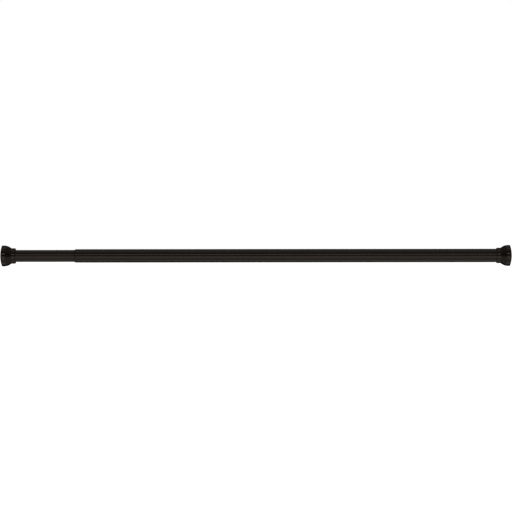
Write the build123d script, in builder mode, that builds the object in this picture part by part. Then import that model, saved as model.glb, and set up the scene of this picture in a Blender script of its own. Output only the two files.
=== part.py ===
"""Telescoping bar that is wedged across a truck bed: two tubes, a spring, a twist lock and two swivel feet.

The bar lies along X. The origin is the middle of the outer foot's pad face, which looks towards +X, and the
inner foot's pad face is at -rest_length. Depths in a foot are measured inward from its own pad face.
"""
from build123d import *
from collections import namedtuple
from math import radians, sqrt, sin
import os

os.makedirs("parts", exist_ok=True)

# ---- Lengths of the whole bar, pad face to pad face
rest_length = 1090.0
closed_length = 1016.0
open_length = 1778.0
spring_travel = 30.0

# ---- Tubes
outer_tube_od = 28.6
inner_tube_od = 25.4
tube_wall = 0.8
press_gap = 0.03
running_gap = 0.05
slip_gap = 0.10

# ---- Foot: rubber pad, moulded hub and painted cover
foot_radius = 22.4
pad_dome_radius = 70.0
pad_flat_radius = 6.0
pad_edge_round = 0.9
pad_side_gap = 0.2
pad_skirt_wall = 1.9
pad_skirt_end = 9.2
pad_bead_height = 2.8
tread_radii = (8.5, 11.5, 14.5, 17.5)
tread_groove_radius = 0.45

hub_front = 5.5
hub_front_disc = 2.5
hub_neck = 2.2
hub_neck_depth = 4.2
hub_rear_disc = 2.0
hub_boss_height = 0.8
hub_boss_inset = 0.7
hub_hole_radius = 2.0
hub_hole_count = 6

cover_rim_front = 3.4
cover_rim_wall = 2.0
cover_rim_flat = 1.2
cover_rim_round_end = 4.2
cover_bell_start = 7.8
cover_bell_radius = 23.5
cover_wall = 1.8
cover_seat_wall = 2.35
cover_ledge = 0.85
cover_snap = 0.2
cover_snap_length = 0.55
collar_gap = 0.4
collar_length = 9.2
collar_end_round = 1.5
collar_lip = 1.6
collar_lip_gap = 0.3
collar_root_fillet = 2.0

# ---- Swivel screw, washer and end plug of each foot
swivel_bore_depth = 4.2
swivel_bore_radius = 6.5
swivel_washer_radius = 6.0
swivel_washer_thickness = 1.0
swivel_head_radius = 4.5
swivel_head_height = 2.7
swivel_shoulder_radius = 2.5
swivel_thread_radius = 2.0
swivel_thread_length = 14.0
drive_slot = (4.6, 1.0)
drive_depth = 1.5

plug_flange = 1.9
plug_barrel = 24.0
plug_pin_depth = 30.5
plug_core_count = 4
plug_core_depth = 5.5
plug_lead_in = 1.0

# ---- Roll pins
pin_radius = 1.5
pin_wall = 0.5
pin_slit = 0.6
pin_inset = 0.2

# ---- Mouth of the outer tube
mouth_setback = 157.8
mouth_lip = 10.0
mouth_cone = 3.0
mouth_edge = 0.15
mouth_spigot = 30.0

# ---- Twist lock
closing_gap = 3.0
lock_head_radius = 3.8
lock_head_height = 2.6
lock_thread_length = 12.0
lock_washer_radius = 10.5
lock_washer_thickness = 1.2
lock_ring_length = 22.0
lock_ring_clearance = 0.45
lock_eccentricity = 1.2
lock_spindle_radius = 7.0
lock_ring_slit = 3.0
lock_ring_grooves = 24
lock_groove_radius = 0.5
lock_twist = 20.0
cam_flange_inset = 0.9
cam_flange = 3.0
journal_radius = 9.0
journal_length = 18.0
guide_ring_length = 8.0
guide_ring_slots = 6
guide_slot_radius = 1.2
clip_thickness = 1.0
clip_groove_depth = 0.6
clip_height = 2.2
clip_opening = 9.0
cam_socket_depth = 15.0
cam_pin_setback = 5.0

# ---- Plunger rod, bush and spring
rod_radius = 5.0
rod_flat = 3.8
rod_head_radius = 8.0
rod_head = 3.0
rod_tail_radius = 3.0
rod_tail_length = 9.0
stroke_gap = 2.0
stop_gap = 0.05
bush_flange = 2.0
bush_barrel = 16.0
bush_pin_inner_gap = 1.2
cup_side_gap = 0.5
cup_disc = 2.0
spring_nose_length = 8.0
spring_nose_gap = 0.5
spring_length = 90.0
spring_mean_radius = 8.5
spring_wire_radius = 1.0
spring_turns = 11
seat_body = 14.0

# ---- Sizes that follow from the ones above
outer_radius = outer_tube_od / 2
inner_radius = inner_tube_od / 2
outer_bore = outer_radius - tube_wall
inner_bore = inner_radius - tube_wall

rim_bore = foot_radius - cover_rim_wall
pad_radius = rim_bore - pad_side_gap
pad_skirt_bore = pad_radius - pad_skirt_wall
hub_front_radius = pad_skirt_bore - slip_gap
hub_neck_radius = hub_front_radius - hub_neck_depth
hub_seat_bore = foot_radius - cover_seat_wall
hub_radius = hub_seat_bore - running_gap
hub_neck_front = hub_front + hub_front_disc
hub_disc_front = hub_neck_front + hub_neck
hub_disc_back = hub_disc_front + hub_rear_disc
hub_back = hub_disc_back + hub_boss_height
swivel_web_front = hub_front + swivel_bore_depth
washer_back = swivel_web_front - slip_gap
washer_front = washer_back - swivel_washer_thickness
plug_front = hub_back + slip_gap
tube_end = plug_front + plug_flange
plug_end = tube_end + plug_barrel

collar_radius = outer_radius + collar_gap + cover_wall
collar_bore = outer_radius + collar_gap
bell_centre = foot_radius - cover_bell_radius
pin_bore = pin_radius + press_gap

mouth_x = -(rest_length - mouth_setback)
outer_tube_start_x = mouth_x + mouth_lip
closing_travel = rest_length - closed_length
opening_travel = open_length - rest_length

lock_tip_x = -(plug_end + closing_gap + closing_travel)
lock_head_seat_x = lock_tip_x - lock_head_height
spindle_end_x = lock_head_seat_x - lock_washer_thickness
spindle_length = lock_ring_length + 2 * slip_gap
cam_flange_x = spindle_end_x - spindle_length - cam_flange
guide_ring_x = cam_flange_x - slip_gap - guide_ring_length
clip_x = guide_ring_x - slip_gap - clip_thickness
cam_end_x = cam_flange_x - journal_length
cam_pin_x = cam_end_x + cam_pin_setback
bush_front_x = cam_end_x - spring_travel - stroke_gap
inner_tube_end_x = bush_front_x - bush_flange
bush_back_x = inner_tube_end_x - bush_barrel
bush_pin_x = (inner_tube_end_x + bush_back_x) / 2
rod_head_x = bush_back_x - stop_gap - rod_head
spring_front_x = rod_head_x - cup_disc
seat_front_x = spring_front_x - spring_length
seat_back_x = seat_front_x - seat_body
seat_pin_x = (seat_front_x + seat_back_x) / 2
spring_nose_radius = spring_mean_radius - spring_wire_radius - spring_nose_gap
lock_ring_radius = outer_bore - lock_ring_clearance

End = namedtuple("End", "name face_x inward tube_radius")
outer_end = End("outer", 0.0, -1, outer_radius)
inner_end = End("inner", -rest_length, 1, inner_radius)
ends = (outer_end, inner_end)


def lengthwise(end):
    """Half section of a foot: local X is the depth behind the pad's face and local Y is the radius."""
    return Plane(origin=(end.face_x, 0, 0), x_dir=(end.inward, 0, 0), z_dir=(0, 0, 1))


def across(end, depth):
    """Plane across a foot at a depth behind its pad's face, looking inward."""
    return Plane(origin=(end.face_x + end.inward * depth, 0, 0), x_dir=(0, 1, 0), z_dir=(end.inward, 0, 0))


def station(x):
    """Plane across the bar at x, looking towards +X, with local Y upwards."""
    return Plane(origin=(x, 0, 0), x_dir=(0, 1, 0), z_dir=(1, 0, 0))


def corner(profile, depth, radius):
    """The vertex of a half section that lies nearest to a depth and a radius."""
    return profile.vertices().sort_by_distance((depth, radius))[0]


def dome_depth(radius):
    """Depth of the pad's domed face at a radius; it is flat inside pad_flat_radius."""
    return sqrt(pad_dome_radius**2 - pad_flat_radius**2) - sqrt(pad_dome_radius**2 - radius**2)


def bell_depth(radius, arc_radius):
    """Depth at which an arc about the bell's centre comes down to a radius."""
    return cover_bell_start + sqrt(arc_radius**2 - (radius - bell_centre) ** 2)


# ---- Rubber pad: a boot that stretches over the hub's front disc, with ring grooves in its domed face
def foot_pad(end):
    dome_middle = (pad_flat_radius + pad_radius) / 2
    bead_bore = pad_skirt_bore - pad_bead_height
    with BuildPart() as pad:
        with BuildSketch(lengthwise(end)) as section:
            with BuildLine():
                Line((0, 0), (0, pad_flat_radius))
                ThreePointArc(
                    (0, pad_flat_radius),
                    (dome_depth(dome_middle), dome_middle),
                    (dome_depth(pad_radius), pad_radius),
                )
                Polyline(
                    (dome_depth(pad_radius), pad_radius),
                    (pad_skirt_end, pad_radius),
                    (pad_skirt_end, bead_bore),
                    (hub_neck_front, bead_bore),
                    (hub_neck_front, pad_skirt_bore),
                    (hub_front, pad_skirt_bore),
                    (hub_front, 0),
                    (0, 0),
                )
            make_face()
            fillet(corner(section, dome_depth(pad_radius), pad_radius), pad_edge_round)
        revolve(axis=Axis.X)
        with BuildSketch(lengthwise(end)):
            for radius in tread_radii:
                with Locations((dome_depth(radius), radius)):
                    Circle(tread_groove_radius)
        revolve(axis=Axis.X, mode=Mode.SUBTRACT)
    return pad


# ---- Hub: moulded nylon, with a disc for the pad, a disc for the cover and a boss that bears on the plug
def foot_hub(end):
    boss_radius = inner_radius - hub_boss_inset
    shoulder_bore = swivel_shoulder_radius + running_gap
    hole_circle = (hub_neck_radius + hub_radius) / 2
    with BuildPart() as hub:
        with BuildSketch(lengthwise(end)):
            with BuildLine():
                Polyline(
                    (hub_front, swivel_bore_radius),
                    (hub_front, hub_front_radius),
                    (hub_neck_front, hub_front_radius),
                    (hub_neck_front, hub_neck_radius),
                    (hub_disc_front, hub_neck_radius),
                    (hub_disc_front, hub_radius),
                    (hub_disc_back, hub_radius),
                    (hub_disc_back, boss_radius),
                    (hub_back, boss_radius),
                    (hub_back, shoulder_bore),
                    (swivel_web_front, shoulder_bore),
                    (swivel_web_front, swivel_bore_radius),
                    close=True,
                )
            make_face()
        revolve(axis=Axis.X)
        with BuildSketch(across(end, hub_disc_front)):
            with PolarLocations(hole_circle, hub_hole_count):
                Circle(hub_hole_radius)
        extrude(amount=hub_rear_disc, mode=Mode.SUBTRACT)
    return hub


# ---- Cover: a bell-shaped shell that snaps over the hub's rear disc and ends in a collar round the tube
def foot_cover(end):
    ledge_bore = hub_seat_bore - cover_ledge
    snap_bore = hub_seat_bore - cover_snap
    snap_back = hub_disc_front - running_gap
    snap_front = snap_back - cover_snap_length
    inner_arc = cover_bell_radius - cover_wall
    collar_start = bell_depth(collar_radius, cover_bell_radius)
    collar_end = collar_start + collar_length
    lip_front = collar_end - collar_lip
    lip_bore = end.tube_radius + collar_lip_gap
    bell_middle = (foot_radius + collar_radius) / 2
    inner_middle = (ledge_bore + collar_bore) / 2
    rim_edge = rim_bore + cover_rim_flat
    rim_run = cover_rim_round_end - cover_rim_front
    rim_rise = foot_radius - rim_edge
    rim_round = (rim_run**2 + rim_rise**2) / (2 * rim_rise)
    with BuildPart() as cover:
        with BuildSketch(lengthwise(end)) as section:
            with BuildLine():
                Line((cover_rim_front, rim_bore), (cover_rim_front, rim_edge))
                RadiusArc((cover_rim_front, rim_edge), (cover_rim_round_end, foot_radius), rim_round)
                Line((cover_rim_round_end, foot_radius), (cover_bell_start, foot_radius))
                ThreePointArc(
                    (cover_bell_start, foot_radius),
                    (bell_depth(bell_middle, cover_bell_radius), bell_middle),
                    (collar_start, collar_radius),
                )
                Polyline(
                    (collar_start, collar_radius),
                    (collar_end, collar_radius),
                    (collar_end, lip_bore),
                    (lip_front, lip_bore),
                    (lip_front, collar_bore),
                    (bell_depth(collar_bore, inner_arc), collar_bore),
                )
                ThreePointArc(
                    (bell_depth(collar_bore, inner_arc), collar_bore),
                    (bell_depth(inner_middle, inner_arc), inner_middle),
                    (bell_depth(ledge_bore, inner_arc), ledge_bore),
                )
                Polyline(
                    (bell_depth(ledge_bore, inner_arc), ledge_bore),
                    (hub_disc_back, ledge_bore),
                    (hub_disc_back, hub_seat_bore),
                    (snap_back, hub_seat_bore),
                    (snap_back, snap_bore),
                    (snap_front, snap_bore),
                    (snap_front, rim_bore),
                    (cover_rim_front, rim_bore),
                )
            make_face()
            fillet(corner(section, collar_start, collar_radius), collar_root_fillet)
            fillet(corner(section, collar_end, collar_radius), collar_end_round)
        revolve(axis=Axis.X)
    return cover


# ---- Swivel screw: cross-recessed pan head, a shoulder that the hub turns on, and a thread in the plug
def swivel_screw(end):
    head_top = washer_front - swivel_head_height
    head_edge = head_top + swivel_head_height / 3
    thread_end = plug_front + swivel_thread_length
    with BuildPart() as screw:
        with BuildSketch(lengthwise(end)):
            with BuildLine():
                ThreePointArc(
                    (head_top, 0),
                    (head_top + swivel_head_height / 12, swivel_head_radius / 2),
                    (head_edge, swivel_head_radius),
                )
                Polyline(
                    (head_edge, swivel_head_radius),
                    (washer_front, swivel_head_radius),
                    (washer_front, swivel_shoulder_radius),
                    (plug_front, swivel_shoulder_radius),
                    (plug_front, swivel_thread_radius),
                    (thread_end, swivel_thread_radius),
                    (thread_end, 0),
                    (head_top, 0),
                )
            make_face()
        revolve(axis=Axis.X)
        with BuildSketch(across(end, head_top)):
            Rectangle(drive_slot[0], drive_slot[1])
            Rectangle(drive_slot[1], drive_slot[0])
        extrude(amount=drive_depth, mode=Mode.SUBTRACT)
    return screw


def swivel_washer(end):
    with BuildPart() as washer:
        with BuildSketch(across(end, washer_front)):
            Circle(swivel_washer_radius)
            Circle(swivel_shoulder_radius + running_gap, mode=Mode.SUBTRACT)
        extrude(amount=swivel_washer_thickness)
    return washer


# ---- End plug: nylon, pressed into the tube, with a pilot hole, a cross hole and moulding cores
def end_plug(end):
    barrel_radius = end.tube_radius - tube_wall - press_gap
    core_circle = (barrel_radius + swivel_thread_radius) / 2 + plug_lead_in
    core_radius = (barrel_radius - swivel_thread_radius) / 4
    pilot_depth = swivel_thread_length + plug_lead_in
    with BuildPart() as plug:
        with BuildSketch(across(end, plug_front)):
            Circle(end.tube_radius)
        extrude(amount=plug_flange)
        with BuildSketch(across(end, tube_end)):
            Circle(barrel_radius)
        extrude(amount=plug_barrel)
        chamfer(plug.faces().sort_by(Axis.X)[0 if end.inward < 0 else -1].edges(), plug_lead_in)
        with BuildSketch(across(end, plug_front)):
            Circle(swivel_thread_radius + press_gap)
        extrude(amount=pilot_depth, mode=Mode.SUBTRACT)
        with BuildSketch(across(end, plug_end - plug_core_depth)):
            with PolarLocations(core_circle, plug_core_count):
                Circle(core_radius)
        extrude(amount=plug_core_depth, mode=Mode.SUBTRACT)
        with BuildSketch(Plane.XY) as pin_hole:
            with Locations((end.face_x + end.inward * plug_pin_depth, 0)):
                Circle(pin_bore)
        extrude(amount=end.tube_radius, both=True, mode=Mode.SUBTRACT)
    return plug


# ---- Roll pin across the bar: rolled spring steel with a slit, its ends just inside the surface
def roll_pin(x, half_length):
    with BuildPart() as pin:
        with BuildSketch(Plane.XY.offset(-half_length)):
            with Locations((x, 0)):
                Circle(pin_radius)
                Circle(pin_radius - pin_wall, mode=Mode.SUBTRACT)
            with Locations((x, pin_radius)):
                Rectangle(pin_slit, 2 * pin_wall + pin_slit, mode=Mode.SUBTRACT)
        extrude(amount=2 * half_length)
    return pin


# ---- Tube: from its plug to its other end, with a pair of holes at each place where a pin crosses it
def tube(low_x, high_x, radius, pin_places):
    with BuildPart() as pipe:
        with BuildSketch(station(low_x)):
            Circle(radius)
            Circle(radius - tube_wall, mode=Mode.SUBTRACT)
        extrude(amount=high_x - low_x)
        with BuildSketch(Plane.XY):
            for x in pin_places:
                with Locations((x, 0)):
                    Circle(pin_bore)
        extrude(amount=2 * radius, both=True, mode=Mode.SUBTRACT)
    return pipe


# ---- The two feet, each with the screw, washer, plug and pin that hold it to its tube
for end in ends:
    pad = foot_pad(end)
    pad.part.label = f"{end.name}_foot_pad"
    export_step(pad.part, f"parts/{end.name}_foot_pad.step")

    hub = foot_hub(end)
    hub.part.label = f"{end.name}_foot_hub"
    export_step(hub.part, f"parts/{end.name}_foot_hub.step")

    cover = foot_cover(end)
    cover.part.label = f"{end.name}_foot_cover"
    export_step(cover.part, f"parts/{end.name}_foot_cover.step")

    screw = swivel_screw(end)
    screw.part.label = f"{end.name}_swivel_screw"
    export_step(screw.part, f"parts/{end.name}_swivel_screw.step")

    washer = swivel_washer(end)
    washer.part.label = f"{end.name}_swivel_washer"
    export_step(washer.part, f"parts/{end.name}_swivel_washer.step")

    plug = end_plug(end)
    plug.part.label = f"{end.name}_end_plug"
    export_step(plug.part, f"parts/{end.name}_end_plug.step")

    plug_pin = roll_pin(end.face_x + end.inward * plug_pin_depth, end.tube_radius - pin_inset)
    plug_pin.part.label = f"{end.name}_plug_pin"
    export_step(plug_pin.part, f"parts/{end.name}_plug_pin.step")


# ---- Outer tube and the bush in its mouth
outer_tube = tube(outer_tube_start_x, -tube_end, outer_radius, [-plug_pin_depth])
outer_tube.part.label = "outer_tube"
export_step(outer_tube.part, "parts/outer_tube.step")

with BuildPart() as mouth_bush:
    slide_bore = inner_radius + running_gap
    with BuildSketch(Plane.XY):
        with BuildLine():
            Polyline(
                (mouth_x, slide_bore),
                (mouth_x, slide_bore + mouth_edge),
                (mouth_x + mouth_cone, outer_radius),
                (outer_tube_start_x, outer_radius),
                (outer_tube_start_x, outer_bore - press_gap),
                (outer_tube_start_x + mouth_spigot, outer_bore - press_gap),
                (outer_tube_start_x + mouth_spigot, slide_bore),
                close=True,
            )
        make_face()
    revolve(axis=Axis.X)
mouth_bush.part.label = "mouth_bush"
export_step(mouth_bush.part, "parts/mouth_bush.step")


# ---- Inner tube, pinned to its plug, to the plunger's bush and to the spring's seat
inner_tube_pins = [-rest_length + plug_pin_depth, bush_pin_x, seat_pin_x]
inner_tube = tube(-rest_length + tube_end, inner_tube_end_x, inner_radius, inner_tube_pins)
inner_tube.part.label = "inner_tube"
export_step(inner_tube.part, "parts/inner_tube.step")


# ---- Plunger bush: guides the flatted rod, stops its head, and its flange slides in the outer tube
with BuildPart() as plunger_bush:
    with BuildSketch(station(inner_tube_end_x)):
        Circle(outer_bore - slip_gap)
    extrude(amount=bush_flange)
    with BuildSketch(station(bush_back_x)):
        Circle(inner_bore - press_gap)
    extrude(amount=bush_barrel)
    with BuildSketch(station(bush_back_x)):
        Circle(rod_radius + running_gap)
        Rectangle(2 * (rod_radius + slip_gap), 2 * (rod_flat + running_gap), mode=Mode.INTERSECT)
    extrude(amount=bush_barrel + bush_flange, mode=Mode.SUBTRACT)
    with BuildSketch(Plane.XY):
        with Locations((bush_pin_x, 0)):
            Circle(pin_bore)
    extrude(amount=inner_radius, both=True, mode=Mode.SUBTRACT)
plunger_bush.part.label = "plunger_bush"
export_step(plunger_bush.part, "parts/plunger_bush.step")

# Two short dowels, one above and one below the rod
dowel_start = rod_radius + bush_pin_inner_gap
dowel_length = inner_radius - pin_inset - dowel_start
with BuildPart() as plunger_bush_pins:
    for upward in (1, -1):
        with BuildSketch(Plane.XY.offset(upward * dowel_start)):
            with Locations((bush_pin_x, 0)):
                Circle(pin_radius)
        extrude(amount=upward * dowel_length)
plunger_bush_pins.part.label = "plunger_bush_pins"
export_step(plunger_bush_pins.part, "parts/plunger_bush_pins.step")


# ---- Plunger rod: two flats carry the twist, the head meets the bush, the tail carries the spring cup
rod_end_x = cam_end_x + cam_socket_depth
with BuildPart() as plunger_rod:
    with BuildSketch(station(rod_head_x + rod_head)):
        Circle(rod_radius)
        Rectangle(2 * rod_radius, 2 * rod_flat, mode=Mode.INTERSECT)
    extrude(amount=rod_end_x - rod_head_x - rod_head)
    with BuildSketch(station(rod_head_x)):
        Circle(rod_head_radius)
    extrude(amount=rod_head)
    with BuildSketch(station(rod_head_x - rod_tail_length)):
        Circle(rod_tail_radius)
    extrude(amount=rod_tail_length)
    with BuildSketch(Plane.XY):
        with Locations((cam_pin_x, 0)):
            Circle(pin_bore)
    extrude(amount=rod_radius, both=True, mode=Mode.SUBTRACT)
plunger_rod.part.label = "plunger_rod"
export_step(plunger_rod.part, "parts/plunger_rod.step")


# ---- Spring cup on the rod's tail, and the spring's seat pinned in the inner tube
with BuildPart() as spring_cup:
    with BuildSketch(station(spring_front_x)):
        Circle(inner_bore - cup_side_gap)
    extrude(amount=cup_disc)
    with BuildSketch(station(spring_front_x - spring_nose_length)):
        Circle(spring_nose_radius)
    extrude(amount=spring_nose_length)
    with BuildSketch(station(rod_head_x - rod_tail_length)):
        Circle(rod_tail_radius + press_gap)
    extrude(amount=rod_tail_length, mode=Mode.SUBTRACT)
spring_cup.part.label = "spring_cup"
export_step(spring_cup.part, "parts/spring_cup.step")

with BuildPart() as spring_seat:
    with BuildSketch(station(seat_back_x)):
        Circle(inner_bore - press_gap)
    extrude(amount=seat_body)
    with BuildSketch(station(seat_front_x)):
        Circle(spring_nose_radius)
    extrude(amount=spring_nose_length)
    with BuildSketch(Plane.XY):
        with Locations((seat_pin_x, 0)):
            Circle(pin_bore)
    extrude(amount=inner_radius, both=True, mode=Mode.SUBTRACT)
spring_seat.part.label = "spring_seat"
export_step(spring_seat.part, "parts/spring_seat.step")

spring_seat_pin = roll_pin(seat_pin_x, inner_radius - pin_inset)
spring_seat_pin.part.label = "spring_seat_pin"
export_step(spring_seat_pin.part, "parts/spring_seat_pin.step")


# ---- Compression spring between the cup and the seat
coil_height = spring_length - 2 * spring_wire_radius
with BuildPart() as spring:
    with BuildLine() as coil:
        Helix(
            pitch=coil_height / spring_turns,
            height=coil_height,
            radius=spring_mean_radius,
            center=(seat_front_x + spring_wire_radius, 0, 0),
            direction=(1, 0, 0),
        )
    with BuildSketch(Plane(origin=coil.line @ 0, z_dir=coil.line % 0)):
        Circle(spring_wire_radius)
    sweep(path=coil.line, is_frenet=True)
spring.part.label = "spring"
export_step(spring.part, "parts/spring.step")


# ---- Lock cam: eccentric spindle, flange, journal for the guide ring and a flatted socket for the rod
with BuildPart() as lock_cam:
    with BuildSketch(station(cam_flange_x + cam_flange)):
        with Locations((0, lock_eccentricity)):
            Circle(lock_spindle_radius)
    extrude(amount=spindle_length)
    with BuildSketch(station(cam_flange_x)):
        Circle(outer_bore - cam_flange_inset)
    extrude(amount=cam_flange)
    with BuildSketch(station(cam_end_x)):
        Circle(journal_radius)
    extrude(amount=journal_length)
    with BuildSketch(station(clip_x)):
        Circle(journal_radius)
        Circle(journal_radius - clip_groove_depth, mode=Mode.SUBTRACT)
    extrude(amount=clip_thickness, mode=Mode.SUBTRACT)
    with BuildSketch(station(cam_end_x)):
        Circle(rod_radius + press_gap)
        Rectangle(2 * (rod_radius + press_gap), 2 * (rod_flat + press_gap), mode=Mode.INTERSECT)
    extrude(amount=cam_socket_depth, mode=Mode.SUBTRACT)
    with BuildSketch(station(spindle_end_x - lock_thread_length - plug_lead_in)):
        Circle(swivel_thread_radius + press_gap)
    extrude(amount=lock_thread_length + plug_lead_in, mode=Mode.SUBTRACT)
    with BuildSketch(Plane.XY):
        with Locations((cam_pin_x, 0)):
            Circle(pin_bore)
    extrude(amount=journal_radius, both=True, mode=Mode.SUBTRACT)
lock_cam.part.label = "lock_cam"
export_step(lock_cam.part, "parts/lock_cam.step")

cam_pin = roll_pin(cam_pin_x, journal_radius - pin_inset)
cam_pin.part.label = "cam_pin"
export_step(cam_pin.part, "parts/cam_pin.step")


# ---- Lock ring: split nylon ring, eccentric on the spindle, that a twist pushes against the outer tube
with BuildPart() as lock_ring:
    with BuildSketch(station(cam_flange_x + cam_flange + slip_gap)):
        Circle(lock_ring_radius)
        with Locations((0, lock_eccentricity)):
            Circle(lock_spindle_radius + running_gap, mode=Mode.SUBTRACT)
        with Locations((0, lock_ring_radius)):
            Rectangle(lock_ring_slit, 2 * (lock_ring_radius - lock_spindle_radius), mode=Mode.SUBTRACT)
        with PolarLocations(lock_ring_radius, lock_ring_grooves):
            Circle(lock_groove_radius, mode=Mode.SUBTRACT)
    extrude(amount=lock_ring_length)
lock_ring.part.label = "lock_ring"
export_step(lock_ring.part, "parts/lock_ring.step")


# ---- Guide ring: slides in the outer tube while the cam's journal turns in it
with BuildPart() as guide_ring:
    with BuildSketch(station(guide_ring_x)):
        Circle(outer_bore - running_gap)
        Circle(journal_radius + running_gap, mode=Mode.SUBTRACT)
        with PolarLocations(outer_bore, guide_ring_slots):
            Circle(guide_slot_radius, mode=Mode.SUBTRACT)
    extrude(amount=guide_ring_length)
guide_ring.part.label = "guide_ring"
export_step(guide_ring.part, "parts/guide_ring.step")

# Spring clip that keeps the guide ring on the journal
with BuildPart() as guide_clip:
    with BuildSketch(station(clip_x)):
        Circle(journal_radius - clip_groove_depth + clip_height)
        Circle(journal_radius - clip_groove_depth + press_gap, mode=Mode.SUBTRACT)
        with Locations((0, journal_radius)):
            Rectangle(clip_opening, 2 * clip_height, mode=Mode.SUBTRACT)
    extrude(amount=clip_thickness)
guide_clip.part.label = "guide_clip"
export_step(guide_clip.part, "parts/guide_clip.step")


# ---- Washer and screw on the spindle's end, which keep the lock ring on
with BuildPart() as lock_washer:
    with BuildSketch(station(lock_head_seat_x - lock_washer_thickness)):
        Circle(lock_washer_radius)
        Circle(swivel_thread_radius + press_gap, mode=Mode.SUBTRACT)
    extrude(amount=lock_washer_thickness)
lock_washer.part.label = "lock_washer"
export_step(lock_washer.part, "parts/lock_washer.step")

with BuildPart() as lock_screw:
    with BuildSketch(station(spindle_end_x - lock_thread_length)):
        Circle(swivel_thread_radius)
    extrude(amount=lock_thread_length + lock_washer_thickness)
    with BuildSketch(station(lock_head_seat_x)):
        Circle(lock_head_radius)
    extrude(amount=lock_head_height)
    fillet(lock_screw.faces().sort_by(Axis.X)[-1].edges(), lock_head_height / 3)
    with BuildSketch(station(lock_tip_x - drive_depth)):
        Rectangle(drive_slot[0], drive_slot[1])
        Rectangle(drive_slot[1], drive_slot[0])
    extrude(amount=drive_depth, mode=Mode.SUBTRACT)
lock_screw.part.label = "lock_screw"
export_step(lock_screw.part, "parts/lock_screw.step")


# ---- What the joints need to know
ring_shift = 2 * lock_eccentricity * sin(radians(lock_twist / 2))
print(f"mouth at x {mouth_x:.2f}, inner tube from {inner_tube_end_x:.2f}, lock tip {lock_tip_x:.2f}")
print(f"travel: closing {closing_travel:.1f}, opening {opening_travel:.1f}, spring {spring_travel:.1f}")
print(f"twist {lock_twist:.1f} degrees shifts the ring {ring_shift:.3f} of {lock_ring_clearance:.2f}")
print(f"inner tube left in the mouth when open: {inner_tube_end_x - opening_travel - mouth_x:.1f}")
print(f"spring from x {seat_front_x:.2f} to {spring_front_x:.2f}")
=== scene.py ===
from math import asin, cos, degrees, pi, radians, sin, sqrt

import bmesh
import bpy
from mathutils import Matrix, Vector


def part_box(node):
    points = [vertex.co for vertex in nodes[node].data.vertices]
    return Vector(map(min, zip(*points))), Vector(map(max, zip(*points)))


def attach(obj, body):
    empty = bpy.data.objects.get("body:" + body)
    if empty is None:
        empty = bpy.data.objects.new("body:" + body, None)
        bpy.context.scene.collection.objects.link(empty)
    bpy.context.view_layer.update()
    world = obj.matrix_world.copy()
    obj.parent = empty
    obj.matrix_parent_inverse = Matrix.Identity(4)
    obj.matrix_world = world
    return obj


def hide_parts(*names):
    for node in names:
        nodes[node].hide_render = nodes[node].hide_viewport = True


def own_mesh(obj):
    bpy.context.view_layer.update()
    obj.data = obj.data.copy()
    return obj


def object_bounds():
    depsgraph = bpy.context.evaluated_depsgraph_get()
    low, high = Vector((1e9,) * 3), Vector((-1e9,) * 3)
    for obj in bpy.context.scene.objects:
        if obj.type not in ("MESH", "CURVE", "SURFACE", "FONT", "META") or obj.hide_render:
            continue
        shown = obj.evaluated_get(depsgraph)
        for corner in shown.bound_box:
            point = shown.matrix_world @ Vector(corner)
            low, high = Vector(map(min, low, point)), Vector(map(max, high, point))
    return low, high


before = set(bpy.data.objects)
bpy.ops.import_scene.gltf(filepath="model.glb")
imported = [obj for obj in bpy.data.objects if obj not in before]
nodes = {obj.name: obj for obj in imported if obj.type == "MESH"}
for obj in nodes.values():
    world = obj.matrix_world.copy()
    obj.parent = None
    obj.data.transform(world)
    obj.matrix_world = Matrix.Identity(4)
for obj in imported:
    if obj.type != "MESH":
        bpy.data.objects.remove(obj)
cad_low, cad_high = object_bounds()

# ---- Camera
# A long lens looks square on at the side of the bar from far away, so that there is hardly any perspective,
# and the bar fills the view from edge to edge. The lens and its sensor are in millimetres, and the width that
# the view takes in is in metres.
lens_length = 200.0
sensor_width = 36.0
farthest_seen = 60.0
picture_width = 1.0919
aim_below_axis = 0.0006
roll = radians(0.06)
bar_middle = (cad_low.x + cad_high.x) / 2
camera_distance = picture_width * lens_length / sensor_width

lens = bpy.data.cameras.new("long_lens")
lens.lens = lens_length
lens.sensor_width = sensor_width
lens.clip_end = farthest_seen
camera = bpy.data.objects.new("camera", lens)
stand = Matrix.Translation((bar_middle, -camera_distance, -aim_below_axis))
camera.matrix_world = stand @ Matrix.Rotation(pi / 2, 4, "X") @ Matrix.Rotation(-roll, 4, "Z")
bpy.context.scene.collection.objects.link(camera)
bpy.context.scene.camera = camera


# ---- Small tube
# Welded steel tube of 25.4 mm with a 0.8 mm wall, deburred at its ends and powder coated a bronze black.
# Its paint is rubbed in fine lines along the bar, where it slides in and out of the large tube's mouth.
mm = 0.001
tube_wall = 0.8 * mm
tube_edge = 0.2 * mm
merge_gap = 0.001 * mm
sharp_angle = radians(25)
cloud_size = 35 * mm
flake_spacing = 0.8 * mm
hairline_spacing = 0.4 * mm
hairline_length = 300 * mm
peel_spacing = 1.8 * mm
peel_depth = 0.025 * mm
bronze_gloss = "#FFEBD9"


def tube_outline(node):
    """A tube's wall as (x, radius), as long and as wide as its CAD node."""
    low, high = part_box(node)
    bore = high.z - tube_wall
    return [(low.x, high.z), (high.x, high.z), (high.x, bore), (low.x, bore)]


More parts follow.
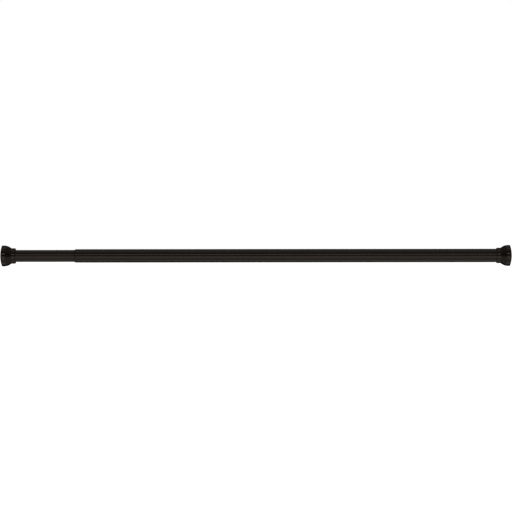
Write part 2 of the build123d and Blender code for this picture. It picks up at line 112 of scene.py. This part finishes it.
def turned(name, outline, round_over, slices=128):
    """A piece turned about the bar's axis from an outline of (x, radius), its sharp rings rounded over."""
    shape = bmesh.new()
    points = [shape.verts.new((x, 0, radius)) for x, radius in outline]
    for here, there in zip(points, points[1:]):
        shape.edges.new((here, there))
    if outline[0][1] > 0:
        shape.edges.new((points[-1], points[0]))
    everything = shape.verts[:] + shape.edges[:]
    bmesh.ops.spin(shape, geom=everything, cent=(0, 0, 0), axis=(1, 0, 0), angle=2 * pi, steps=slices,
                   use_merge=True)
    bmesh.ops.remove_doubles(shape, verts=shape.verts, dist=merge_gap)
    bmesh.ops.recalc_face_normals(shape, faces=shape.faces)
    sharp = [edge for edge in shape.edges if edge.calc_face_angle(0) > sharp_angle]
    bmesh.ops.bevel(shape, geom=sharp, offset=round_over, affect="EDGES", segments=3, profile=0.5,
                    material=-1, clamp_overlap=True)
    return placed(name, shape)


def placed(name, shape):
    """Makes a bmesh into a smoothly shaded object at the origin, with its place in its mesh."""
    mesh = bpy.data.meshes.new(name)
    shape.to_mesh(mesh)
    shape.free()
    mesh.shade_smooth()
    piece = bpy.data.objects.new(name, mesh)
    bpy.context.scene.collection.objects.link(piece)
    piece.modifiers.new("flat_faces_stay_flat", "WEIGHTED_NORMAL")
    return piece


def colour(hex_value):
    """An sRGB hex colour as the linear red, green, blue and alpha that shaders take."""
    channels = [int(hex_value[i:i + 2], 16) / 255 for i in (1, 3, 5)]
    return [c / 12.92 if c <= 0.04045 else ((c + 0.055) / 1.055) ** 2.4 for c in channels] + [1.0]


def add(tree, kind, settings=None, inputs=None):
    """Adds a shader node. An input goes by its name, or by its number where several have the same name."""
    made = tree.nodes.new("ShaderNode" + kind)
    for name, value in (settings or {}).items():
        setattr(made, name, value)
    for name, value in (inputs or {}).items():
        if isinstance(value, bpy.types.NodeSocket):
            tree.links.new(value, made.inputs[name])
        else:
            made.inputs[name].default_value = value
    return made


def finish_of(name):
    """A new material, with its node tree, its surface shader and its Object coordinates."""
    material = bpy.data.materials.new(name)
    material.use_nodes = True
    tree = material.node_tree
    return material, tree, tree.nodes["Principled BSDF"], add(tree, "TexCoord").outputs["Object"]


def coat(piece, material):
    """Puts a material on all of a piece."""
    if not piece.material_slots:
        piece.data.materials.append(material)
    for place in piece.material_slots:
        place.material = material


def powder_paint(name, rubbed):
    """Bronze-black powder paint: glossy, with orange peel, clouds of brown and, where rubbed, fine lines."""
    material, tree, surface, here = finish_of(name)
    # Colour drifts from black to brown over a few centimetres, as an uneven powder layer does
    cloud = add(tree, "TexNoise", {}, {"Vector": here, "Scale": 1 / cloud_size, "Detail": 3.0})
    base = add(tree, "Mix", {"data_type": "RGBA"}, {0: cloud.outputs[0], 6: colour("#080605"),
                                                    7: colour("#0D0A08")})
    # The gloss is slightly warm where it is seen square on, from the bronze pigment in the powder
    surface.inputs["Specular Tint"].default_value = colour(bronze_gloss)
    # Bronze flakes show here and there, drawn 0.8 mm apart because real ones are too fine to see. Each flake
    # is a lighter bronze, partly its own colour and partly a painted glint: a random brightness per flake
    # stands for how it is tilted to the light.
    flake = add(tree, "TexVoronoi", {}, {"Vector": here, "Scale": 1 / flake_spacing})
    near = add(tree, "MapRange", {}, {"Value": flake.outputs["Distance"], "From Min": 0.26, "From Max": 0.10,
                                      "To Max": 0.5})
    # Painted glint: a random brightness per flake, standing for its tilt towards the lamps, lightens the base
    # colour
    painted_tilt_glint = add(tree, "Math", {"operation": "POWER"}, {0: flake.outputs["Color"], 1: 2.5})
    flake_and_painted_glint = add(tree, "Math", {"operation": "MULTIPLY"}, {0: near.outputs[0], 1: painted_tilt_glint.outputs[0]})
    flecked = add(tree, "Mix", {"data_type": "RGBA"}, {0: flake_and_painted_glint.outputs[0], 6: base.outputs[2],
                                                       7: colour("#5A4634")})
    shine = add(tree, "MapRange", {}, {"Value": cloud.outputs[0], "To Min": 0.09, "To Max": 0.16})
    paint_colour = flecked.outputs[2]
    paint_shine = shine.outputs[0]
    if rubbed:
        # Hairlines 0.4 mm apart and hundreds of millimetres long, from sliding in the mouth
        along_bar = (1 / hairline_length, 1 / hairline_spacing, 1 / hairline_spacing)
        stretched = add(tree, "Mapping", {}, {"Vector": here, "Scale": along_bar})
        lines = add(tree, "TexNoise", {}, {"Vector": stretched.outputs[0], "Scale": 1.0, "Detail": 2.0})
        worn = add(tree, "MapRange", {}, {"Value": lines.outputs[0], "From Min": 0.58, "From Max": 0.72,
                                          "To Max": 0.35})
        rubbed_colour = add(tree, "Mix", {"data_type": "RGBA"}, {0: worn.outputs[0], 6: paint_colour,
                                                                 7: colour("#2A241F")})
        rubbed_shine = add(tree, "Math", {"operation": "MULTIPLY_ADD"},
                           {0: worn.outputs[0], 1: 0.15, 2: paint_shine})
        paint_colour = rubbed_colour.outputs[2]
        paint_shine = rubbed_shine.outputs[0]
    tree.links.new(paint_colour, surface.inputs["Base Color"])
    tree.links.new(paint_shine, surface.inputs["Roughness"])
    # Orange peel: shallow dimples 1.8 mm apart, which make the edges of a reflection waver
    peel = add(tree, "TexNoise", {}, {"Vector": here, "Scale": 1 / peel_spacing, "Detail": 1.0})
    bump = add(tree, "Bump", {}, {"Height": peel.outputs[0], "Distance": peel_depth, "Strength": 1.0})
    tree.links.new(bump.outputs[0], surface.inputs["Normal"])
    return material


small_tube = turned("small_tube", tube_outline("inner_tube"), tube_edge)
coat(small_tube, powder_paint("powder_painted_steel_rubbed", rubbed=True))
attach(small_tube, "inner_arm")
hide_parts("inner_tube")

# ---- Large tube
# Welded steel tube of 28.6 mm with the same wall and the same powder paint, cut square at both ends.
# The end plug closes it at the foot and the mouth ring is pressed into its other end.
large_tube = turned("large_tube", tube_outline("outer_tube"), tube_edge)
tube_paint = powder_paint("powder_painted_steel", rubbed=False)
coat(large_tube, tube_paint)
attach(large_tube, "outer_arm")
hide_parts("outer_tube")

# ---- Mouth ring
# Bush of bronze-black nylon with a conical nose, moulded in a polished mould that leaves it as glossy as the
# paint. Its spigot is pressed into the large tube, its lip is as wide as that tube, and the small tube slides
# in its bore.
mouth_nose_length = 3.0 * mm
mouth_nose_edge = 0.15 * mm
mouth_slide_gap = 0.05 * mm
mouth_press_gap = 0.03 * mm
mouth_round = 0.25 * mm
polished_grain = 0.4 * mm
polished_depth = 0.003 * mm
resin_cloud = 12 * mm


def moulded_plastic(name, dark, light, roughness, grain, grain_depth, gloss="#FFFFFF"):
    """A moulded plastic: two close shades in slow clouds, and the fine grain that the mould's walls leave."""
    material, tree, surface, here = finish_of(name)
    surface.inputs["Specular Tint"].default_value = colour(gloss)
    cloud = add(tree, "TexNoise", {}, {"Vector": here, "Scale": 1 / resin_cloud, "Detail": 4.0})
    shade = add(tree, "Mix", {"data_type": "RGBA"}, {0: cloud.outputs[0], 6: colour(dark), 7: colour(light)})
    tree.links.new(shade.outputs[2], surface.inputs["Base Color"])
    skin = add(tree, "TexNoise", {}, {"Vector": here, "Scale": 1 / grain, "Detail": 3.0})
    dull = add(tree, "MapRange", {}, {"Value": skin.outputs[0], "To Min": roughness - 0.06,
                                      "To Max": roughness + 0.06})
    tree.links.new(dull.outputs[0], surface.inputs["Roughness"])
    bump = add(tree, "Bump", {}, {"Height": skin.outputs[0], "Distance": grain_depth, "Strength": 1.0})
    tree.links.new(bump.outputs[0], surface.inputs["Normal"])
    return material


ring_low, ring_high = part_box("mouth_bush")
slide_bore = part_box("inner_tube")[1].z + mouth_slide_gap
lip_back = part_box("outer_tube")[0].x
spigot_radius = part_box("outer_tube")[1].z - tube_wall - mouth_press_gap
mouth_ring = turned("mouth_ring", [
    (ring_low.x, slide_bore), (ring_low.x, slide_bore + mouth_nose_edge),
    (ring_low.x + mouth_nose_length, ring_high.z), (lip_back, ring_high.z), (lip_back, spigot_radius),
    (ring_high.x, spigot_radius), (ring_high.x, slide_bore)], mouth_round)
coat(mouth_ring, moulded_plastic("polished_bronze_nylon", "#080605", "#0E0B09", 0.16,
                                 polished_grain, polished_depth, gloss=bronze_gloss))
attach(mouth_ring, "outer_arm")
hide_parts("mouth_bush")

# ---- Foot covers
# Bell-shaped shells of injection-moulded ABS, painted to match the tubes. Each snaps over its hub's rear
# disc, hides the swivel, and narrows to a collar that clears the tube.
ends = {
    "outer": (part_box("outer_foot_pad")[1].x, -1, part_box("outer_tube")[1].z),
    "inner": (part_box("inner_foot_pad")[0].x, 1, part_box("inner_tube")[1].z),
}
cover_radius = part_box("outer_foot_cover")[1].z
cover_wall = 1.8 * mm
rim_front = 3.4 * mm
rim_bore = cover_radius - 2.0 * mm
rim_edge = rim_bore + 1.2 * mm
rim_round_end = rim_front + 0.8 * mm
bell_start = 7.8 * mm
bell_curve = 23.5 * mm
seat_front = 10.15 * mm
seat_back = 12.2 * mm
seat_bore = cover_radius - 2.35 * mm
snap_bore = seat_bore - 0.2 * mm
snap_front = seat_front - 0.55 * mm
ledge_bore = seat_bore - 0.85 * mm
collar_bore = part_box("outer_tube")[1].z + 0.4 * mm
collar_radius = collar_bore + cover_wall
collar_length = 9.2 * mm
collar_fillet = 2.0 * mm
collar_end_round = 1.5 * mm
collar_lip = 1.6 * mm
collar_lip_gap = 0.3 * mm
cover_edge = 0.12 * mm
foot_slices = 160


def arc(centre, radius, start, stop, steps):
    """Points of an arc in an outline, from one angle to another in degrees; 0 points along the bar."""
    turns = [radians(start + (stop - start) * i / steps) for i in range(steps + 1)]
    return [(centre[0] + radius * cos(turn), centre[1] + radius * sin(turn)) for turn in turns]


def cover_outline(tube_radius):
    """The cover's wall as (depth behind the pad's face, radius), from its rim over the bell and back."""
    rim_rise = cover_radius - rim_edge
    rim_run = rim_round_end - rim_front
    rim_round = (rim_run ** 2 + rim_rise ** 2) / (2 * rim_rise)
    rim_angle = 180 - degrees(asin((rim_round - rim_rise) / rim_round))
    bell_centre = (bell_start, cover_radius - bell_curve)
    inner_curve = bell_curve - cover_wall
    collar_end = bell_start + sqrt(bell_curve ** 2 - (collar_radius - bell_centre[1]) ** 2) + collar_length
    lip_bore = tube_radius + collar_lip_gap
    fillet_rise = collar_radius + collar_fillet - bell_centre[1]
    fillet_angle = degrees(asin(fillet_rise / (bell_curve + collar_fillet)))
    fillet_centre = (bell_start + sqrt((bell_curve + collar_fillet) ** 2 - fillet_rise ** 2),
                     collar_radius + collar_fillet)
    end_centre = (collar_end - collar_end_round, collar_radius - collar_end_round)
    inner_low = degrees(asin((collar_bore - bell_centre[1]) / inner_curve))
    inner_high = degrees(asin((ledge_bore - bell_centre[1]) / inner_curve))
    return (
        arc((rim_round_end, cover_radius - rim_round), rim_round, rim_angle, 90, 8)
        + arc(bell_centre, bell_curve, 90, fillet_angle, 24)
        + arc(fillet_centre, collar_fillet, fillet_angle + 180, 270, 5)[1:]
        + arc(end_centre, collar_end_round, 90, 0, 8)
        + [(collar_end, lip_bore), (collar_end - collar_lip, lip_bore),
           (collar_end - collar_lip, collar_bore)]
        + arc(bell_centre, inner_curve, inner_low, inner_high, 10)
        + [(seat_back, ledge_bore), (seat_back, seat_bore), (seat_front, seat_bore), (seat_front, snap_bore),
           (snap_front, snap_bore), (snap_front, rim_bore), (rim_front, rim_bore)]
    )


cover_paint = powder_paint("painted_moulded_abs", rubbed=False)
for end, (face, inward, tube_radius) in ends.items():
    outline = [(face + inward * depth, radius) for depth, radius in cover_outline(tube_radius)]
    cover = turned(end + "_cover", outline, cover_edge, slices=foot_slices)
    coat(cover, cover_paint)
    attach(cover, end + "_foot")
    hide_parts(end + "_foot_cover")

# ---- Foot pads
# Compression-moulded black rubber boots, stretched over the hubs' front discs. Each has a low domed face with
# a flat middle, four ring grooves for grip, and a skirt that stands just inside the cover's rim.
pad_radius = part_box("outer_foot_pad")[1].z
dome_radius = 70.0 * mm
flat_radius = 6.0 * mm
pad_edge_round = 0.9 * mm
pad_corner = 0.15 * mm
rubber_grain = 0.5 * mm
rubber_depth = 0.03 * mm
tread_radii = [8.5 * mm, 11.5 * mm, 14.5 * mm, 17.5 * mm]
tread_groove = 0.45 * mm
pad_back = 5.5 * mm
bead_front = 8.0 * mm
skirt_end = 9.2 * mm
skirt_bore = pad_radius - 1.9 * mm
bead_bore = skirt_bore - 2.8 * mm
dome_middle = sqrt(dome_radius ** 2 - flat_radius ** 2)


def pad_outline():
    """The pad's section as (depth, radius), from the middle of its face over the rim and back to the axis."""
    outline = [(0, 0), (0, flat_radius)]
    for tread in tread_radii:
        tilt = degrees(asin(tread / dome_radius))
        depth = dome_middle - sqrt(dome_radius ** 2 - tread ** 2)
        outline += arc((depth, tread), tread_groove, -90 - tilt, 90 - tilt, 8)
    edge_radius = pad_radius - pad_edge_round
    edge_depth = dome_middle - sqrt((dome_radius - pad_edge_round) ** 2 - edge_radius ** 2)
    edge_start = 180 - degrees(asin(edge_radius / (dome_radius - pad_edge_round)))
    outline += arc((edge_depth, edge_radius), pad_edge_round, edge_start, 90, 6)
    return outline + [(skirt_end, pad_radius), (skirt_end, bead_bore), (bead_front, bead_bore),
                      (bead_front, skirt_bore), (pad_back, skirt_bore), (pad_back, 0)]


rubber = moulded_plastic("moulded_black_rubber", "#131313", "#1C1B1A", 0.62, rubber_grain, rubber_depth)
for end, (face, inward, _) in ends.items():
    outline = [(face + inward * depth, radius) for depth, radius in pad_outline()]
    pad = turned(end + "_pad", outline, pad_corner, slices=foot_slices)
    coat(pad, rubber)
    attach(pad, end + "_foot")
    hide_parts(end + "_foot_pad")

# ---- Nylon mouldings inside
# The hubs, the end plugs, the plunger's bush, the spring's cup and its seat are injection moulded in plain
# black nylon, which has a satin skin with a faint grain, and are pressed or pinned in place.
nylon_grain = 0.4 * mm
nylon_depth = 0.012 * mm
black_nylon = moulded_plastic("moulded_black_nylon", "#161412", "#1D1A17", 0.36, nylon_grain, nylon_depth)
for name in ("outer_foot_hub", "inner_foot_hub", "outer_end_plug", "inner_end_plug", "plunger_bush",
             "spring_cup", "spring_seat"):
    coat(nodes[name], black_nylon)

# ---- Lock ring and guide ring
# Split and slotted rings of natural acetal, which grips steel without scoring it. It is a slightly waxy,
# off-white plastic, moulded with a fine satin skin.
acetal_grain = 0.5 * mm
acetal_depth = 0.01 * mm
white_acetal = moulded_plastic("moulded_natural_acetal", "#DDD8C9", "#E8E4D8", 0.42,
                               acetal_grain, acetal_depth)
for name in ("lock_ring", "guide_ring"):
    coat(nodes[name], white_acetal)

# ---- Turned steel parts
# The rod, the cam, the screws and the washers are steel, turned on a lathe and zinc plated. The tool leaves
# fine rings round the bar's axis, and the plating turns them a bright, slightly blue grey.
turning_pitch = 0.15 * mm
tool_mark_depth = 0.01 * mm
tool_mark_length = 8 * mm
film_cloud = 6 * mm


def turned_steel(name, dark, light, roughness, pitch):
    """Bare or plated steel, with the rings that a lathe tool leaves and a thin uneven film over them."""
    material, tree, surface, here = finish_of(name)
    surface.inputs["Metallic"].default_value = 1.0
    film = add(tree, "TexNoise", {}, {"Vector": here, "Scale": 1 / film_cloud, "Detail": 4.0})
    shade = add(tree, "Mix", {"data_type": "RGBA"}, {0: film.outputs[0], 6: colour(dark), 7: colour(light)})
    tree.links.new(shade.outputs[2], surface.inputs["Base Color"])
    round_bar = (1 / pitch, 1 / tool_mark_length, 1 / tool_mark_length)
    stretched = add(tree, "Mapping", {}, {"Vector": here, "Scale": round_bar})
    rings = add(tree, "TexNoise", {}, {"Vector": stretched.outputs[0], "Scale": 1.0, "Detail": 2.0})
    dull = add(tree, "MapRange", {}, {"Value": rings.outputs[0], "To Min": roughness - 0.1,
                                      "To Max": roughness + 0.1})
    tree.links.new(dull.outputs[0], surface.inputs["Roughness"])
    bump = add(tree, "Bump", {}, {"Height": rings.outputs[0], "Distance": tool_mark_depth, "Strength": 1.0})
    tree.links.new(bump.outputs[0], surface.inputs["Normal"])
    return material


plated_steel = turned_steel("zinc_plated_turned_steel", "#A9AFB4", "#C8CBCB", 0.34, turning_pitch)
for name in ("plunger_rod", "lock_cam", "lock_screw", "lock_washer", "outer_swivel_screw",
             "inner_swivel_screw", "outer_swivel_washer", "inner_swivel_washer"):
    coat(nodes[name], plated_steel)

# ---- Roll pins and clip
# Rolled or stamped from hardened spring steel and left dark with oil. The pins cross the tubes under the
# collars, and the clip keeps the guide ring on the cam.
oiled_steel = turned_steel("oiled_spring_steel", "#3B3733", "#5A554E", 0.38, 2 * turning_pitch)
for name in ("outer_plug_pin", "inner_plug_pin", "cam_pin", "spring_seat_pin", "plunger_bush_pins",
             "guide_clip"):
    coat(nodes[name], oiled_steel)

# ---- Spring
# Compression spring coiled from 2 mm wire, with its end turns closed up so that they sit flat on the cup and
# on the seat. It shortens by up to 30 mm when the bar is wedged in place.
wire_radius = 1.0 * mm
coil_radius = 8.5 * mm
closed_turns = 1.25
open_turns = 9.0
steps_per_turn = 36
closed_pitch = 2.05 * mm
wire_sides = 12


def coiled(name, low_x, high_x):
    """Wire swept round the bar's axis in steps, by a small pitch at the ends and a larger one between."""
    closed_steps = round(closed_turns * steps_per_turn)
    open_steps = round(open_turns * steps_per_turn)
    run = high_x - low_x - 2 * wire_radius
    closed_step = closed_pitch / steps_per_turn
    open_step = (run - 2 * closed_steps * closed_step) / open_steps
    advances = [closed_step] * closed_steps + [open_step] * open_steps + [closed_step] * closed_steps
    shape = bmesh.new()
    start = Matrix.Translation((low_x + wire_radius, 0, coil_radius)) @ Matrix.Rotation(pi / 2, 4, "X")
    bmesh.ops.create_circle(shape, cap_ends=False, radius=wire_radius, segments=wire_sides, matrix=start)
    section = shape.verts[:] + shape.edges[:]
    for advance in advances:
        swept = bmesh.ops.spin(shape, geom=section, cent=(0, 0, 0), axis=(1, 0, 0), dvec=(advance, 0, 0),
                               angle=2 * pi / steps_per_turn, steps=1, use_merge=False)
        section = swept["geom_last"]
    bmesh.ops.holes_fill(shape, edges=shape.edges)
    bmesh.ops.recalc_face_normals(shape, faces=shape.faces)
    return placed(name, shape)


spring_low, spring_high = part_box("spring")
coil_spring = coiled("coil_spring", spring_low.x, spring_high.x)
coat(coil_spring, oiled_steel)
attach(coil_spring, "inner_arm")
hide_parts("spring")
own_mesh(coil_spring)

# ---- Floor
# A wide sheet of pale matt paper, which the two feet rest on. It lights the bar from below, but the bar's
# gloss doesn't mirror it.
floor_size = 30.0
fibre_size = 4 * mm

sheet = bmesh.new()
bmesh.ops.create_grid(sheet, x_segments=1, y_segments=1, size=floor_size / 2,
                      matrix=Matrix.Translation((bar_middle, 0, cad_low.z)))
floor = placed("floor", sheet)
paper, tree, surface, here = finish_of("matt_paper")
fibre = add(tree, "TexNoise", {}, {"Vector": here, "Scale": 1 / fibre_size, "Detail": 3.0})
white = add(tree, "Mix", {"data_type": "RGBA"}, {0: fibre.outputs[0], 6: colour("#F3F2F0"),
                                                 7: colour("#F8F8F7")})
tree.links.new(white.outputs[2], surface.inputs["Base Color"])
surface.inputs["Roughness"].default_value = 0.9
surface.inputs["Specular IOR Level"].default_value = 0.0
coat(floor, paper)
floor.visible_glossy = False

# ---- Light
# A broad softbox overhead lights the paper and the bar softly. Soft strips hang along the bar, and its gloss
# mirrors them as fine bright lines. Past their ends it mirrors the studio, which is dark above and dim below.
softbox_size = 3.0
softbox_height = 2.4
softbox_front = 0.6
softbox_power = 30.0
# Each strip's height angle, how far it fades to each side of that, and its brightness; 0 is level in front of
# the bar and 90 straight up. The studio's glow is a brightness at a height angle.
strips = [(-92, 16, 0.36), (-57, 11, 0.13), (-32, 11, 0.38), (-12, 9, 0.52),
          (22, 8, 1.00), (60, 8, 0.20), (88, 12, 0.27), (114, 14, 0.14)]
studio_glow = [(-132, 0.03), (-104, 0.14), (-28, 0.20), (-10, 0.05), (0, 0.00), (46, 0.00), (60, 0.05),
               (140, 0.03)]
strip_brightness = 1.8
strips_end = 0.11
strips_fade = 0.11
ambient_brightness = 1.15
backdrop_brightness = 1.0

box_light = bpy.data.lights.new("overhead_softbox", "AREA")
box_light.size = softbox_size
box_light.energy = softbox_power
softbox = bpy.data.objects.new("overhead_softbox", box_light)
softbox.matrix_world = Matrix.Translation((bar_middle, -softbox_front, softbox_height))
softbox.visible_glossy = False
bpy.context.scene.collection.objects.link(softbox)

studio = bpy.data.worlds.new("studio")
studio.use_nodes = True
bpy.context.scene.world = studio
tree = studio.node_tree
tree.nodes.clear()
towards = add(tree, "SeparateXYZ", {}, {"Vector": add(tree, "TexCoord").outputs["Generated"]})
front = add(tree, "Math", {"operation": "MULTIPLY"}, {0: towards.outputs[1], 1: -1.0})
height = add(tree, "Math", {"operation": "ARCTAN2"}, {0: towards.outputs[2], 1: front.outputs[0]})
turn = add(tree, "MapRange", {}, {"Value": height.outputs[0], "From Min": -pi, "From Max": pi})
strip_stops = [stop for middle, fade, level in strips
               for stop in ((middle - fade, 0.0), (middle, level), (middle + fade, 0.0))]
ramps = []
for stops in (studio_glow, strip_stops):
    ramp = add(tree, "ValToRGB", {}, {"Fac": turn.outputs[0]})
    marks = ramp.color_ramp.elements
    marks[-1].color = marks[0].color
    for angle, level in stops:
        marks.new((angle + 180) / 360).color = (level, level, level, 1)
    ramps.append(ramp)
endwise = add(tree, "Math", {"operation": "ABSOLUTE"}, {0: towards.outputs[0]})
beside_bar = add(tree, "MapRange", {}, {"Value": endwise.outputs[0], "From Min": strips_end,
                                        "From Max": strips_end + strips_fade, "To Min": 1.0, "To Max": 0.0})
panels = add(tree, "Mix", {"data_type": "RGBA", "blend_type": "ADD"},
             {0: beside_bar.outputs[0], 6: ramps[0].outputs[0], 7: ramps[1].outputs[0]})
path = add(tree, "LightPath")
mirrored = add(tree, "Background", {}, {"Color": panels.outputs[2], "Strength": strip_brightness})
ambient = add(tree, "Background", {}, {"Color": colour("#FFFFFF"), "Strength": ambient_brightness})
backdrop = add(tree, "Background", {}, {"Color": colour("#FFFFFF"), "Strength": backdrop_brightness})
lit = add(tree, "MixShader", {}, {0: path.outputs["Is Glossy Ray"], 1: ambient.outputs[0],
                                  2: mirrored.outputs[0]})
seen = add(tree, "MixShader", {}, {0: path.outputs["Is Camera Ray"], 1: lit.outputs[0],
                                   2: backdrop.outputs[0]})
add(tree, "OutputWorld", {}, {"Surface": seen.outputs[0]})

bpy.context.scene.view_settings.view_transform = "Standard"
